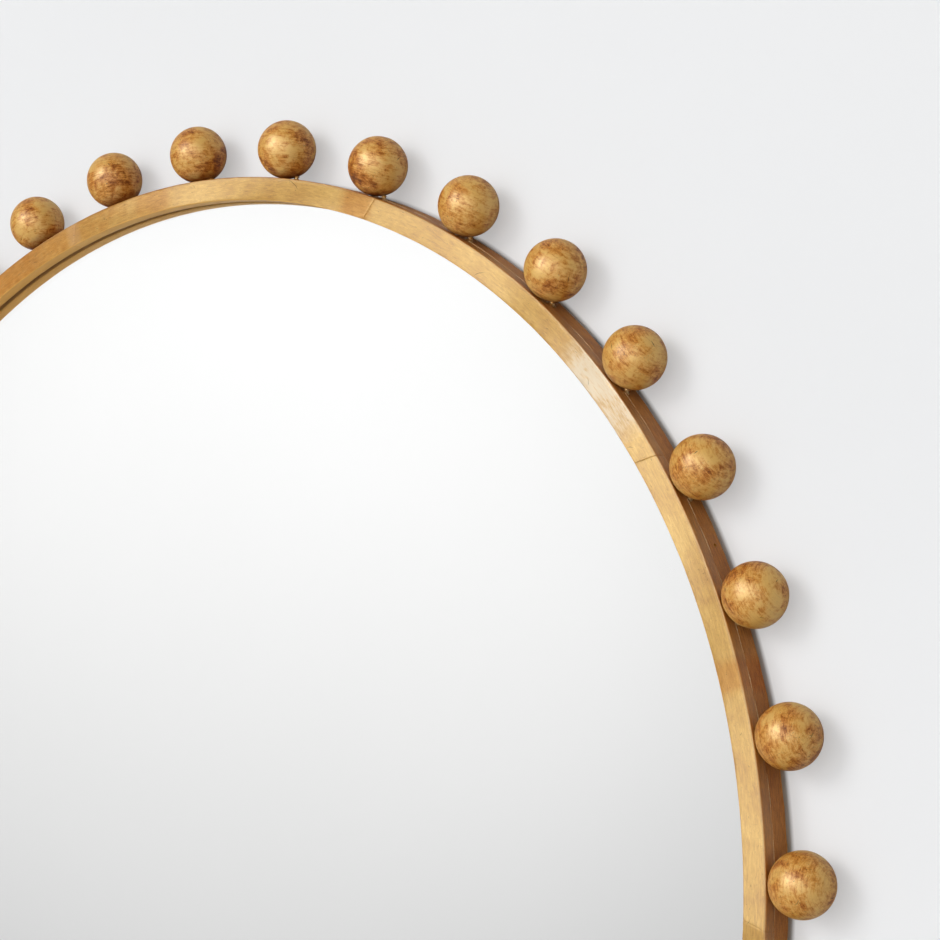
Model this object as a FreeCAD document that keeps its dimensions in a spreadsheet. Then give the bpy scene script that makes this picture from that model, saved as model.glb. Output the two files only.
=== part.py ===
import FreeCAD, Part
import math
import os
import Sketcher

# A round wall mirror. The frame is a ring of two glued wooden layers, studded
# all round its rim with turned wooden balls. Flat glass lies in the rebate
# behind the front layer, on a foam cushion and a backing board that is nailed
# through the rim. Two strap hangers with swinging D rings carry it.
#
# Axes: X to the right and Z up as the viewer sees the mirror, Y from the
# viewer into the wall. The origin is on the axis of the ring, in the plane of
# the ball centres. Millimetres and degrees.

SIZES = {
    # balls round the rim
    "ball_count": 36,
    "ball_diameter": 40,
    "ball_gap": 0.1,            # air between ball and rim where they come nearest
    "ball_setback": 7,          # ball centres behind the front face
    # the two layers of the ring
    "frame_radius": 468,
    "frame_depth": 25,
    "face_width": 16,           # front layer, seen from the front
    "front_layer_depth": 9.2,
    "rear_layer_width": 9,
    "edge_round": 0.8,          # worn front edges
    "back_edge_round": 1.2,
    "segment_count": 10,        # butt-jointed pieces of the front layer
    "joint_angle": 33,          # first butt joint, counted from the right
    "joint_gap": 0.1,           # glue line
    # glass, cushion and backing board
    "glass_thickness": 4,
    "glass_play": 1,            # radial room round the glass
    "glass_arris": 0.5,
    "cushion_thickness": 1,
    "cushion_width": 14,
    "cushion_inset": 2,         # behind the edge of the glass
    "board_thickness": 6,
    "board_play": 0.5,
    "board_arris": 0.6,
    # blind steel pins on the ball axes
    "pin_diameter": 3,
    "pin_in_rim": 9,
    "pin_in_ball": 12,
    "pin_point": 1.5,
    "bore_play": 0.05,          # radial room round pins, brads, nails, screws
    "end_play": 0.3,            # room past the points
    # one brad beside each pin, driven outwards from inside the rebate
    "brad_diameter": 2,
    "brad_side": 8,             # beside the ball axis
    "brad_setback": 11.5,       # behind the front face
    "brad_reach": 11,           # past the rim
    "brad_head_diameter": 4,
    "brad_head_thickness": 0.8,
    "brad_sink": 0.2,
    "brad_point": 2,
    # nails through the rim into the edge of the board
    "nail_count": 9,
    "nail_angle": 25,
    "nail_diameter": 1.6,
    "nail_length": 22,
    "nail_sink": 1.5,
    "nail_head_diameter": 2.6,
    "nail_head_thickness": 0.7,
    "nail_point": 2,
    # felt pads between frame and wall
    "pad_count": 4,
    "pad_angle": 45,
    "pad_diameter": 8,
    "pad_thickness": 2,
    # strap hangers on the board
    "hanger_spread": 520,       # from D ring to D ring
    "hanger_height": 250,       # hinge of the D rings above the centre
    "strap_width": 12,
    "strap_length": 34,
    "strap_thickness": 1,       # one layer of the folded strip
    "strap_corner": 4,
    "fold_reach": 6,            # where the two layers of the strip meet
    "hole_offset": 15,          # first screw below the hinge
    "hole_pitch": 12,
    "ring_wire": 2.6,
    "ring_width": 22,           # between the wire's centre lines
    "ring_straight": 5,         # hinge to the centre of the bow
    "ring_corner": 3,
    "ring_lean": 3,             # the bow leans on the board
    "hinge_play": 0.1,
    "screw_diameter": 3,
    "screw_length": 6.5,
    "screw_head_diameter": 5.6,
    "screw_head_thickness": 1.6,
    "screw_point": 1.2,
    "recess_span": 3.2,         # across the cross recess of a screw head
    "recess_width": 0.8,
    "recess_depth": 1,
}

# Heights are counted from the ball centres towards the viewer.
DERIVED = {
    "ball_radius": "ball_diameter / 2",
    "ball_orbit": "frame_radius + ball_gap + ball_radius",
    "face_inner": "frame_radius - face_width",
    "rebate_radius": "frame_radius - rear_layer_width",
    "seam_height": "ball_setback - front_layer_depth",
    "back_height": "ball_setback - frame_depth",
    "joint_turn": "joint_gap / frame_radius * 180 / pi",
    "segment_turn": "360 / segment_count - joint_turn",
    "glass_radius": "rebate_radius - glass_play",
    "glass_shoulder": "glass_radius - glass_arris",
    "glass_back": "seam_height - glass_thickness",
    "glass_front_arris": "seam_height - glass_arris",
    "glass_back_arris": "glass_back + glass_arris",
    "cushion_radius": "glass_radius - cushion_inset",
    "cushion_inner": "cushion_radius - cushion_width",
    "cushion_back": "glass_back - cushion_thickness",
    "board_radius": "rebate_radius - board_play",
    "board_shoulder": "board_radius - board_arris",
    "board_back": "cushion_back - board_thickness",
    "board_back_arris": "board_back + board_arris",
    "pin_radius": "pin_diameter / 2",
    "pin_start": "frame_radius - pin_in_rim",
    "pin_start_shoulder": "pin_start + pin_point",
    "pin_end": "frame_radius + ball_gap + pin_in_ball",
    "pin_end_shoulder": "pin_end - pin_point",
    "pin_bore": "pin_radius + bore_play",
    "pin_bore_start": "pin_start - end_play",
    "past_rim": "frame_radius + ball_radius / 2",
    "inside_rim": "rebate_radius - brad_head_diameter",
    "ball_bore_end": "pin_end + end_play - ball_orbit",
    "brad_radius": "brad_diameter / 2",
    "brad_bore": "brad_radius + bore_play",
    "brad_height": "ball_setback - brad_setback",
    "brad_head": "brad_head_diameter / 2",
    "brad_head_bore": "brad_head + bore_play",
    "brad_start": "rebate_radius + brad_sink",
    "brad_seat": "brad_start + brad_head_thickness",
    "brad_end": "frame_radius + brad_reach",
    "brad_shoulder": "brad_end - brad_point",
    "ball_brad_end": "brad_end + end_play - ball_orbit",
    "nail_radius": "nail_diameter / 2",
    "nail_bore": "nail_radius + bore_play",
    "nail_height": "(cushion_back + board_back) / 2",
    "nail_head": "nail_head_diameter / 2",
    "nail_head_bore": "nail_head + bore_play",
    "nail_top": "frame_radius - nail_sink",
    "nail_seat": "nail_top - nail_head_thickness",
    "nail_end": "nail_top - nail_length",
    "nail_shoulder": "nail_end + nail_point",
    "nail_bore_end": "nail_end - end_play",
    "pad_radius": "pad_diameter / 2",
    "pad_orbit": "(frame_radius + rebate_radius) / 2",
    "hanger_side": "hanger_spread / 2",
    "wire_radius": "ring_wire / 2",
    "eye_inner": "wire_radius + hinge_play",
    "eye_outer": "eye_inner + strap_thickness",
    "eye_height": "eye_outer",
    "fold_turn": "2 * atan(eye_inner / fold_reach) / 1 deg",
    "strap_double": "2 * strap_thickness",
    "inner_tangent_y": "eye_inner * sin(fold_turn)",
    "inner_tangent_z": "eye_height + eye_inner * cos(fold_turn)",
    "outer_tangent_y": "eye_outer * sin(fold_turn)",
    "outer_tangent_z": "eye_height + eye_outer * cos(fold_turn)",
    "fold_run": "(outer_tangent_z - strap_double) / tan(fold_turn)",
    "fold_end": "outer_tangent_y + fold_run",
    "eye_front": "eye_outer",
    "second_hole": "hole_offset + hole_pitch",
    "ring_half": "ring_width / 2",
    "ring_bar_end": "ring_half - ring_corner",
    "screw_radius": "screw_diameter / 2",
    "screw_bore": "screw_radius + bore_play",
    "screw_head": "screw_head_diameter / 2",
    "screw_head_edge": "screw_head_thickness / 2",
    "screw_crown": "screw_head / 2",
    "screw_point_start": "screw_length - screw_point",
    "recess_arm": "recess_span / 2",
    "recess_half": "recess_width / 2",
    "screw_hole_depth": "screw_length - strap_double + end_play",
    "screw_first": "hanger_height - hole_offset",
    "screw_second": "hanger_height - second_hole",
}

# The ring stands upright: its own height axis points at the viewer.
UPRIGHT = FreeCAD.Placement(
    FreeCAD.Vector(0, 0, 0), FreeCAD.Rotation(FreeCAD.Vector(1, 0, 0), 90)
)
# Hanger pieces are drawn with Y up and their height axis towards the wall.
TO_WALL = FreeCAD.Rotation(FreeCAD.Vector(0, 1, 0), 180)
AXIS = FreeCAD.Vector(0, 0, 1)

doc = FreeCAD.newDocument("round_wall_mirror")
sheet = doc.addObject("Spreadsheet::Sheet", "Sizes")
nodes = []


def fill_sheet():
    """Driving sizes are plain numbers, and the rest follows from them."""
    for row, (name, value) in enumerate(SIZES.items(), start=1):
        sheet.set("A%d" % row, name)
        sheet.set("B%d" % row, str(value))
        sheet.setAlias("B%d" % row, name)
    for row, (name, formula) in enumerate(DERIVED.items(), start=1):
        sheet.set("D%d" % row, name)
        sheet.set("E%d" % row, "=" + formula)
        sheet.setAlias("E%d" % row, name)
    doc.recompute()


def size(name):
    """The number in a named cell, or its negative for a name after a minus."""
    if name == "0":
        return 0.0
    if name.startswith("-"):
        return -size(name[1:])
    return float(sheet.get(name))


def cell(name):
    """The expression that follows a named cell."""
    if name.startswith("-"):
        return "-Sizes." + name[1:]
    return "Sizes." + name


# ---------------------------------------------------------------- drawing


def new_body(label, placement=UPRIGHT):
    body = doc.addObject("PartDesign::Body", label)
    body.Label = label
    body.Placement = placement
    return body


def datum(body, role):
    return next(f for f in body.Origin.OriginFeatures if f.Role == role)


def new_sketch(body, plane, turn=0.0, shift=None):
    """A sketch on an origin plane, turned about its upright axis in degrees.

    shift maps "x", "y" or "z" of the sketch's own axes to a named size.
    """
    sketch = body.newObject("Sketcher::SketchObject", body.Label + "_sketch")
    sketch.AttachmentSupport = [(datum(body, plane), "")]
    sketch.MapMode = "FlatFace"
    upright = FreeCAD.Rotation(FreeCAD.Vector(0, 1, 0), turn)
    sketch.AttachmentOffset = FreeCAD.Placement(FreeCAD.Vector(0, 0, 0), upright)
    for axis, name in (shift or {}).items():
        sketch.setExpression("AttachmentOffset.Base." + axis, cell(name))
    return sketch


def hold(sketch, geometry, point, x=None, y=None):
    """Ties a point of the sketch to named sizes."""
    for kind, name, axis_line in (("DistanceX", x, -2), ("DistanceY", y, -1)):
        if name is None:
            continue
        if name == "0":
            on_axis = Sketcher.Constraint("PointOnObject", geometry, point, axis_line)
            sketch.addConstraint(on_axis)
            continue
        rule = Sketcher.Constraint(kind, -1, 1, geometry, point, size(name))
        index = sketch.addConstraint(rule)
        sketch.setExpression("Constraints[%d]" % index, cell(name))


def spot(x, y):
    return FreeCAD.Vector(size(x), size(y), 0)


def outline(sketch, corners):
    """A closed outline of straight lines through corners named by size."""
    lines = []
    for here, there in zip(corners, corners[1:] + corners[:1]):
        line = Part.LineSegment(spot(*here), spot(*there))
        lines.append(sketch.addGeometry(line, False))
    for line, following in zip(lines, lines[1:] + lines[:1]):
        sketch.addConstraint(Sketcher.Constraint("Coincident", line, 2, following, 1))
    for line, corner in zip(lines, corners):
        hold(sketch, line, 1, *corner)


def circle(sketch, x, y, radius):
    ring = Part.Circle(spot(x, y), AXIS, size(radius))
    index = sketch.addGeometry(ring, False)
    rule = sketch.addConstraint(Sketcher.Constraint("Radius", index, size(radius)))
    sketch.setExpression("Constraints[%d]" % rule, cell(radius))
    hold(sketch, index, 3, x, y)


def arc(sketch, centre, radius, start, end):
    """A counter-clockwise arc between two directions in degrees."""
    full = Part.Circle(spot(*centre), AXIS, size(radius))
    bow = Part.ArcOfCircle(full, math.radians(start), math.radians(end))
    index = sketch.addGeometry(bow, False)
    rule = sketch.addConstraint(Sketcher.Constraint("Radius", index, size(radius)))
    sketch.setExpression("Constraints[%d]" % rule, cell(radius))
    hold(sketch, index, 3, *centre)
    return index


def join(sketch, first, first_point, second, second_point):
    rule = Sketcher.Constraint("Coincident", first, first_point, second, second_point)
    sketch.addConstraint(rule)


def line(sketch, start, end):
    return sketch.addGeometry(Part.LineSegment(spot(*start), spot(*end)), False)


# ---------------------------------------------------------------- features


def feature(body, kind, name):
    return body.newObject("PartDesign::" + kind, body.Label + "_" + name)


def turned(body, sketch, axis, turn=None):
    """A revolved solid about the sketch's upright or level axis."""
    solid = feature(body, "Revolution", "turned")
    solid.Profile = sketch
    solid.ReferenceAxis = (sketch, [axis])
    solid.Angle = 360.0
    if turn:
        solid.setExpression("Angle", cell(turn))
    return solid


def cuts(body, before, hole):
    """Stops the build when a hole takes nothing away."""
    doc.recompute()
    if before.cut(hole.Shape).Volume < 1:
        raise RuntimeError(hole.Label + " cuts nothing")


def bored(body, sketch, name):
    """A round hole about the sketch's level axis."""
    doc.recompute()
    before = body.Tip.Shape
    hole = feature(body, "Groove", name)
    hole.Profile = sketch
    hole.ReferenceAxis = (sketch, ["H_Axis"])
    hole.Angle = 360.0
    cuts(body, before, hole)
    return hole


def pocketed(body, sketch, depth=None, flipped=False):
    """Holes of a named depth, or right through the piece."""
    doc.recompute()
    before = body.Tip.Shape
    holes = feature(body, "Pocket", "holes")
    holes.Profile = sketch
    holes.Reversed = flipped
    if depth:
        holes.setExpression("Length", cell(depth))
    else:
        holes.Type = 1
    cuts(body, before, holes)


def round_the_axis(body, original, count, turn=360.0):
    """Repeats a feature about the axis of the ring."""
    pattern = feature(body, "PolarPattern", "round")
    pattern.Originals = [original]
    pattern.Axis = (datum(body, "Z_Axis"), [""])
    pattern.Angle = turn
    pattern.Occurrences = count
    body.Tip = pattern
    return pattern


def rounded(body, radius, wanted):
    """Rounds the edges that the test picks out."""
    doc.recompute()
    base = body.Tip
    edges = base.Shape.Edges
    names = ["Edge%d" % (i + 1) for i, edge in enumerate(edges) if wanted(edge)]
    fillet = feature(body, "Fillet", "round_edge")
    fillet.Base = (base, names)
    fillet.Radius = size(radius)
    fillet.setExpression("Radius", cell(radius))
    return fillet


def ring_edge(radius, height):
    """Picks the circular edges at a radius and height."""

    def wanted(edge):
        curve = edge.Curve
        if not isinstance(curve, Part.Circle):
            return False
        near_radius = abs(curve.Radius - size(radius)) < 1e-3
        return near_radius and abs(curve.Center.z - size(height)) < 1e-3

    return wanted


def ring_placement(angle):
    """The ring's own frame, turned so that its X axis points at an angle."""
    return UPRIGHT * FreeCAD.Placement(
        FreeCAD.Vector(0, 0, 0), FreeCAD.Rotation(AXIS, angle)
    )


def keep(thing):
    nodes.append(thing)
    return thing


# ---------------------------------------------------------------- balls


def ball(index, angle):
    """A turned ball with a blind pin hole towards the ring and a brad hole."""
    body = keep(new_body("ball_%02d" % index, ring_placement(angle)))
    across = "Sizes.ball_orbit * %s(%.9f deg)"
    body.setExpression("Placement.Base.x", across % ("cos", angle))
    body.setExpression("Placement.Base.z", across % ("sin", angle))

    profile = new_sketch(body, "XZ_Plane")
    crown = arc(profile, ("0", "0"), "ball_radius", 0, 175)
    mouth = line(profile, ("-ball_radius", "pin_bore"), ("ball_bore_end", "pin_bore"))
    end = line(profile, ("ball_bore_end", "pin_bore"), ("ball_bore_end", "0"))
    core = line(profile, ("ball_bore_end", "0"), ("ball_radius", "0"))
    join(profile, crown, 2, mouth, 1)
    join(profile, mouth, 2, end, 1)
    join(profile, end, 2, core, 1)
    join(profile, core, 2, crown, 1)
    hold(profile, end, 1, "ball_bore_end", "pin_bore")
    hold(profile, end, 2, "ball_bore_end", "0")
    profile.addConstraint(Sketcher.Constraint("Horizontal", mouth))
    profile.addConstraint(Sketcher.Constraint("Horizontal", core))
    turned(body, profile, "H_Axis")

    mark = new_sketch(body, "YZ_Plane", shift={"z": "ball_brad_end"})
    circle(mark, "-brad_side", "brad_height", "brad_bore")
    pocketed(body, mark)


def ball_pins():
    """Double-pointed pins on the ball axes, half in the rim, half in the balls."""
    body = keep(new_body("ball_pins"))
    profile = new_sketch(body, "XZ_Plane")
    outline(profile, [
        ("pin_start", "0"),
        ("pin_start_shoulder", "pin_radius"),
        ("pin_end_shoulder", "pin_radius"),
        ("pin_end", "0"),
    ])
    pin = turned(body, profile, "H_Axis")
    round_the_axis(body, pin, int(size("ball_count")))


def ball_brads():
    """Brads that stop the balls turning on their pins."""
    body = keep(new_body("ball_brads"))
    beside = {"y": "brad_height", "z": "brad_side"}
    profile = new_sketch(body, "XZ_Plane", shift=beside)
    outline(profile, [
        ("brad_start", "0"),
        ("brad_start", "brad_head"),
        ("brad_seat", "brad_head"),
        ("brad_seat", "brad_radius"),
        ("brad_shoulder", "brad_radius"),
        ("brad_end", "0"),
    ])
    brad = turned(body, profile, "H_Axis")
    round_the_axis(body, brad, int(size("ball_count")))


# ---------------------------------------------------------------- ring


def front_segment(index, start, ball_angles):
    """One piece of the front layer, from a butt joint to the next."""
    first = ball_angles[0] if ball_angles else start
    label = "front_segment_%02d" % index
    body = keep(new_body(label, ring_placement(first)))
    lead = start - first + size("joint_turn") / 2
    profile = new_sketch(body, "XZ_Plane", turn=lead)
    outline(profile, [
        ("face_inner", "seam_height"),
        ("frame_radius", "seam_height"),
        ("frame_radius", "ball_setback"),
        ("face_inner", "ball_setback"),
    ])
    turned(body, profile, "V_Axis", "segment_turn")
    outer = ring_edge("frame_radius", "ball_setback")
    inner = ring_edge("face_inner", "ball_setback")
    rounded(body, "edge_round", lambda edge: outer(edge) or inner(edge))
    if not ball_angles:
        return
    mark = new_sketch(body, "XZ_Plane")
    outline(mark, [
        ("pin_bore_start", "0"),
        ("pin_bore_start", "pin_bore"),
        ("past_rim", "pin_bore"),
        ("past_rim", "0"),
    ])
    hole = bored(body, mark, "pin_hole")
    if len(ball_angles) > 1:
        turn = ball_angles[-1] - first
        round_the_axis(body, hole, len(ball_angles), turn)


def rear_ring():
    """The rear layer, whose bore is the rebate, with brad and nail holes."""
    body = keep(new_body("rear_ring"))
    profile = new_sketch(body, "XZ_Plane")
    outline(profile, [
        ("rebate_radius", "back_height"),
        ("frame_radius", "back_height"),
        ("frame_radius", "seam_height"),
        ("rebate_radius", "seam_height"),
    ])
    turned(body, profile, "V_Axis")
    rounded(body, "back_edge_round", ring_edge("frame_radius", "back_height"))

    beside = {"y": "brad_height", "z": "brad_side"}
    brad = new_sketch(body, "XZ_Plane", shift=beside)
    outline(brad, [
        ("inside_rim", "0"),
        ("inside_rim", "brad_head_bore"),
        ("brad_seat", "brad_head_bore"),
        ("brad_seat", "brad_bore"),
        ("past_rim", "brad_bore"),
        ("past_rim", "0"),
    ])
    hole = bored(body, brad, "brad_hole")
    round_the_axis(body, hole, int(size("ball_count")))

    level = {"y": "nail_height"}
    nail = new_sketch(body, "XZ_Plane", turn=size("nail_angle"), shift=level)
    outline(nail, [
        ("inside_rim", "0"),
        ("inside_rim", "nail_bore"),
        ("nail_seat", "nail_bore"),
        ("nail_seat", "nail_head_bore"),
        ("past_rim", "nail_head_bore"),
        ("past_rim", "0"),
    ])
    hole = bored(body, nail, "nail_hole")
    round_the_axis(body, hole, int(size("nail_count")))


# ---------------------------------------------------------------- inside


def mirror_glass():
    body = keep(new_body("mirror_glass"))
    profile = new_sketch(body, "XZ_Plane")
    outline(profile, [
        ("0", "glass_back"),
        ("glass_shoulder", "glass_back"),
        ("glass_radius", "glass_back_arris"),
        ("glass_radius", "glass_front_arris"),
        ("glass_shoulder", "seam_height"),
        ("0", "seam_height"),
    ])
    turned(body, profile, "V_Axis")


def glass_cushion():
    """A foam ring that presses the glass against the front layer."""
    body = keep(new_body("glass_cushion"))
    profile = new_sketch(body, "XZ_Plane")
    outline(profile, [
        ("cushion_inner", "cushion_back"),
        ("cushion_radius", "cushion_back"),
        ("cushion_radius", "glass_back"),
        ("cushion_inner", "glass_back"),
    ])
    turned(body, profile, "V_Axis")


def backing_board():
    """The board behind the glass, with nail holes in its edge."""
    body = keep(new_body("backing_board"))
    profile = new_sketch(body, "XZ_Plane")
    outline(profile, [
        ("0", "board_back"),
        ("board_shoulder", "board_back"),
        ("board_radius", "board_back_arris"),
        ("board_radius", "cushion_back"),
        ("0", "cushion_back"),
    ])
    turned(body, profile, "V_Axis")

    marks = new_sketch(body, "XY_Plane", shift={"z": "board_back"})
    for side in ("hanger_side", "-hanger_side"):
        for height in ("screw_first", "screw_second"):
            circle(marks, side, height, "screw_bore")
    pocketed(body, marks, "screw_hole_depth", flipped=True)

    level = {"y": "nail_height"}
    nail = new_sketch(body, "XZ_Plane", turn=size("nail_angle"), shift=level)
    outline(nail, [
        ("nail_bore_end", "0"),
        ("nail_bore_end", "nail_bore"),
        ("past_rim", "nail_bore"),
        ("past_rim", "0"),
    ])
    hole = bored(body, nail, "nail_hole")
    round_the_axis(body, hole, int(size("nail_count")))


def board_nails():
    """Nails driven through the rim, their heads sunk below its surface."""
    body = keep(new_body("board_nails"))
    level = {"y": "nail_height"}
    profile = new_sketch(body, "XZ_Plane", turn=size("nail_angle"), shift=level)
    outline(profile, [
        ("nail_end", "0"),
        ("nail_shoulder", "nail_radius"),
        ("nail_seat", "nail_radius"),
        ("nail_seat", "nail_head"),
        ("nail_top", "nail_head"),
        ("nail_top", "0"),
    ])
    nail = turned(body, profile, "H_Axis")
    round_the_axis(body, nail, int(size("nail_count")))


def wall_pads():
    """Felt discs under the rim, as far back as the balls reach."""
    placement = ring_placement(size("pad_angle"))
    body = keep(new_body("wall_pads", placement))
    mark = new_sketch(body, "XY_Plane", shift={"z": "back_height"})
    circle(mark, "pad_orbit", "0", "pad_radius")
    pad = feature(body, "Pad", "disc")
    pad.Profile = mark
    pad.Reversed = True
    pad.setExpression("Length", cell("pad_thickness"))
    round_the_axis(body, pad, int(size("pad_count")))


# ---------------------------------------------------------------- hangers


def hanger_body(label, side, lean=0.0):
    """A body whose origin is on the board, under the hinge of a D ring."""
    turn = FreeCAD.Rotation(FreeCAD.Vector(1, 0, 0), lean)
    place = FreeCAD.Placement(FreeCAD.Vector(0, 0, 0), TO_WALL * turn)
    body = keep(new_body(label, UPRIGHT * place))
    body.setExpression("Placement.Base.x", cell(side))
    body.setExpression("Placement.Base.z", cell("hanger_height"))
    return body


def hanger_strap(label, side):
    """A steel strip folded round the bar of the D ring, with two screw holes."""
    body = hanger_body(label, side)
    body.setExpression("Placement.Base.y", cell("-board_back"))
    profile = new_sketch(body, "YZ_Plane")
    turn = size("fold_turn")
    outside = [
        ("-fold_end", "strap_double"),
        ("-strap_length", "strap_double"),
        ("-strap_length", "0"),
        ("0", "0"),
    ]
    eye = arc(profile, ("0", "eye_height"), "eye_outer", -90, 90 + turn)
    hold(profile, eye, 1, x="0")
    hold(profile, eye, 2, x="-outer_tangent_y")
    fold = line(profile, ("-outer_tangent_y", "outer_tangent_z"), outside[0])
    join(profile, eye, 2, fold, 1)
    last = fold
    for start, end in zip(outside, outside[1:]):
        edge = line(profile, start, end)
        join(profile, last, 2, edge, 1)
        hold(profile, edge, 1, *start)
        last = edge
    join(profile, last, 2, eye, 1)

    # the room inside the fold, a drop round the bar of the D ring
    drop = arc(profile, ("0", "eye_height"), "eye_inner", -90, 90 + turn)
    upper = line(
        profile,
        ("-inner_tangent_y", "inner_tangent_z"),
        ("-fold_reach", "strap_thickness"),
    )
    lower = line(profile, ("-fold_reach", "strap_thickness"), ("0", "strap_thickness"))
    join(profile, drop, 2, upper, 1)
    join(profile, upper, 2, lower, 1)
    join(profile, lower, 2, drop, 1)
    hold(profile, drop, 1, x="0")
    hold(profile, drop, 2, x="-inner_tangent_y")
    hold(profile, lower, 1, "-fold_reach", "strap_thickness")

    strip = feature(body, "Pad", "strip")
    strip.Profile = profile
    strip.Midplane = True
    strip.setExpression("Length", cell("strap_width"))

    def corner(edge):
        tip = -size("strap_length")
        upright = abs(edge.tangentAt(edge.FirstParameter).z) > 0.99
        return upright and abs(edge.CenterOfMass.y - tip) < 1e-3

    rounded(body, "strap_corner", corner)
    marks = new_sketch(body, "XY_Plane")
    circle(marks, "0", "-hole_offset", "screw_bore")
    circle(marks, "0", "-second_hole", "screw_bore")
    pocketed(body, marks, flipped=True)


def d_ring(label, side):
    """A closed wire ring: a straight bar on the hinge line and a bow."""
    body = hanger_body(label, side, -size("ring_lean"))
    body.setExpression("Placement.Base.y", "Sizes.eye_height - Sizes.board_back")
    path = new_sketch(body, "XY_Plane")
    right = line(path, ("0", "0"), ("ring_bar_end", "0"))
    low_right = arc(path, ("ring_bar_end", "ring_corner"), "ring_corner", -90, 0)
    up = line(path, ("ring_half", "ring_corner"), ("ring_half", "ring_straight"))
    bow = arc(path, ("0", "ring_straight"), "ring_half", 0, 180)
    down = line(path, ("-ring_half", "ring_straight"), ("-ring_half", "ring_corner"))
    low_left = arc(path, ("-ring_bar_end", "ring_corner"), "ring_corner", 180, 270)
    left = line(path, ("-ring_bar_end", "0"), ("0", "0"))
    join(path, right, 2, low_right, 1)
    join(path, low_right, 2, up, 1)
    join(path, up, 2, bow, 1)
    join(path, bow, 2, down, 1)
    join(path, down, 2, low_left, 1)
    join(path, low_left, 2, left, 1)
    join(path, left, 2, right, 1)
    hold(path, right, 1, "0", "0")
    hold(path, low_right, 1, x="ring_bar_end")
    hold(path, low_right, 2, y="ring_corner")
    hold(path, bow, 1, y="ring_straight")
    hold(path, bow, 2, y="ring_straight")
    hold(path, low_left, 1, y="ring_corner")
    hold(path, low_left, 2, x="-ring_bar_end")

    section = new_sketch(body, "YZ_Plane")
    circle(section, "0", "0", "wire_radius")
    wire = feature(body, "AdditivePipe", "wire")
    wire.Profile = section
    wire.Spine = path
    doc.recompute()
    area = math.pi * size("wire_radius") ** 2
    if abs(wire.Shape.Volume / (area * path.Shape.Length) - 1) > 0.01:
        raise RuntimeError(label + ": the wire is not swept all round")


def strap_screw(side, height):
    """A pan-head screw with a cross recess, through the strap into the board."""
    label = "strap_screw_%s_%s" % (side.strip("-"), height)
    if side.startswith("-"):
        label += "_left"
    body = new_body(label, UPRIGHT)
    body.setExpression("Placement.Base.x", cell(side))
    body.setExpression("Placement.Base.y", "Sizes.strap_double - Sizes.board_back")
    body.setExpression("Placement.Base.z", cell(height))
    profile = new_sketch(body, "XZ_Plane")
    outline(profile, [
        ("0", "-screw_head_thickness"),
        ("screw_crown", "-screw_head_thickness"),
        ("screw_head", "-screw_head_edge"),
        ("screw_head", "0"),
        ("screw_radius", "0"),
        ("screw_radius", "screw_point_start"),
        ("0", "screw_length"),
    ])
    turned(body, profile, "V_Axis")
    mark = new_sketch(body, "XY_Plane", shift={"z": "-screw_head_thickness"})
    outline(mark, [
        ("recess_half", "recess_half"),
        ("recess_arm", "recess_half"),
        ("recess_arm", "-recess_half"),
        ("recess_half", "-recess_half"),
        ("recess_half", "-recess_arm"),
        ("-recess_half", "-recess_arm"),
        ("-recess_half", "-recess_half"),
        ("-recess_arm", "-recess_half"),
        ("-recess_arm", "recess_half"),
        ("-recess_half", "recess_half"),
        ("-recess_half", "recess_arm"),
        ("recess_half", "recess_arm"),
    ])
    pocketed(body, mark, "recess_depth", flipped=True)
    return body


def strap_screws():
    screws = [
        strap_screw(side, height)
        for side in ("hanger_side", "-hanger_side")
        for height in ("screw_first", "screw_second")
    ]
    group = keep(doc.addObject("Part::Compound", "strap_screws"))
    group.Label = "strap_screws"
    group.Links = screws


# ---------------------------------------------------------------- assembly


def build():
    fill_sheet()
    ball_step = 360.0 / size("ball_count")
    angles = [i * ball_step for i in range(int(size("ball_count")))]
    for index, angle in enumerate(angles, start=1):
        ball(index, angle)
    ball_pins()
    ball_brads()

    span = 360.0 / size("segment_count")
    for index in range(int(size("segment_count"))):
        start = size("joint_angle") + index * span
        turns = angles + [angle + 360 for angle in angles]
        inside = [angle for angle in turns if start < angle < start + span]
        front_segment(index + 1, start, inside)
    rear_ring()

    mirror_glass()
    glass_cushion()
    backing_board()
    board_nails()
    wall_pads()

    for name, side in (("right", "hanger_side"), ("left", "-hanger_side")):
        hanger_strap("hanger_strap_" + name, side)
        d_ring("d_ring_" + name, side)
    strap_screws()
    doc.recompute()


def check():
    """Every object has computed, and every piece is made of whole solids."""
    for thing in doc.Objects:
        for state in ("Invalid", "Error"):
            if state in thing.State:
                raise RuntimeError("%s is %s" % (thing.Label, state))
    for node in nodes:
        shape = node.Shape
        if shape.isNull() or not shape.isValid() or not shape.Solids:
            raise RuntimeError(node.Label + " has no valid solid")


def export():
    os.makedirs("parts", exist_ok=True)
    for node in nodes:
        node.Shape.exportStep("parts/%s.step" % node.Label)
    print("%d pieces in parts/" % len(nodes))


build()
check()
export()
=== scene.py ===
import math
import random

import bmesh
import bpy
from mathutils import Matrix, Vector, noise


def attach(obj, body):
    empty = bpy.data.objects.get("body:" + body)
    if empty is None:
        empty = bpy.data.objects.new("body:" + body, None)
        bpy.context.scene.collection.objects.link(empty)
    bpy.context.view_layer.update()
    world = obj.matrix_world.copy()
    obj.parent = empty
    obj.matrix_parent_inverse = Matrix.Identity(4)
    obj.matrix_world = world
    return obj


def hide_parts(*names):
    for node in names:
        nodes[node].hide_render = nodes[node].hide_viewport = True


# A round wall mirror in a gilded wooden ring with turned balls. Metres, in the
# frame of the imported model: X right, Z up, Y from the viewer into the wall.
# Angles round the ring are in degrees from +X towards +Z, anticlockwise as the
# viewer sees them.

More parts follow.
